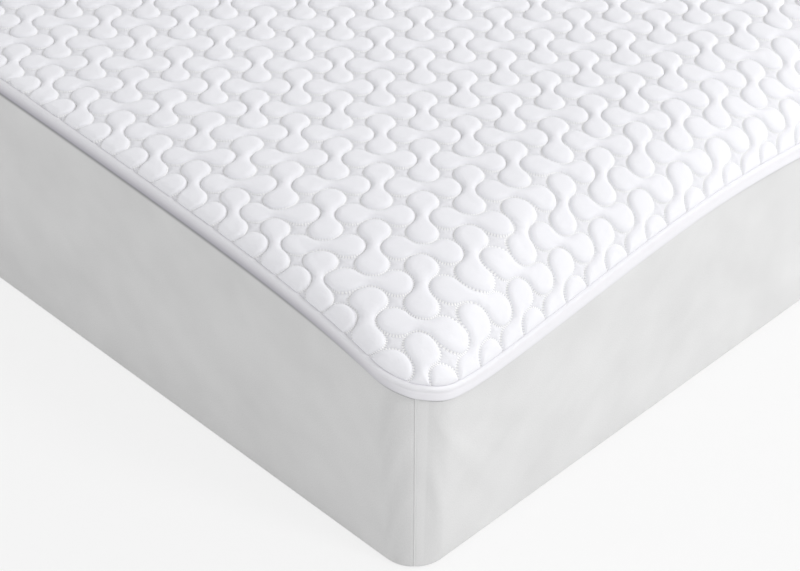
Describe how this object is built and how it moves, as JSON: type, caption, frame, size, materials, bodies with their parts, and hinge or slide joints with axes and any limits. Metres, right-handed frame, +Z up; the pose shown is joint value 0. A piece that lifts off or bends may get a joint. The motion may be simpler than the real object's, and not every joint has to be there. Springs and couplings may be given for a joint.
{
  "type": "mattress protector",
  "caption": "Fitted protector with a quilted padded top, a bound edge, a smooth stretch skirt seamed at each corner and an elasticated turned-under hem.",
  "frame": {"origin": "middle of the resting face, which is the underside of the turned-under hem", "axes": "+Z up out of the quilted top, +Y along the length towards the head end, +X across towards the right side"},
  "size_m": [0.9756, 1.9156, 0.335],
  "materials": {
    "face_knit": "soft matt knit",
    "wadding": "lofty polyester fibre",
    "membrane": "smooth film laminated to a knit",
    "binding_tape": "soft matt tape",
    "skirt_knit": "fine stretch knit",
    "elastic": "woven elastic tape"
  },
  "bodies": {
    "root": {"quilted_face_fabric": "face_knit", "fibre_fill": "wadding", "waterproof_backing": "membrane", "edge_binding": "binding_tape", "skirt_side_left": "skirt_knit", "skirt_side_right": "skirt_knit", "skirt_end_foot": "skirt_knit", "skirt_end_head": "skirt_knit", "hem_elastic": "elastic"}
  },
  "joints": []
}
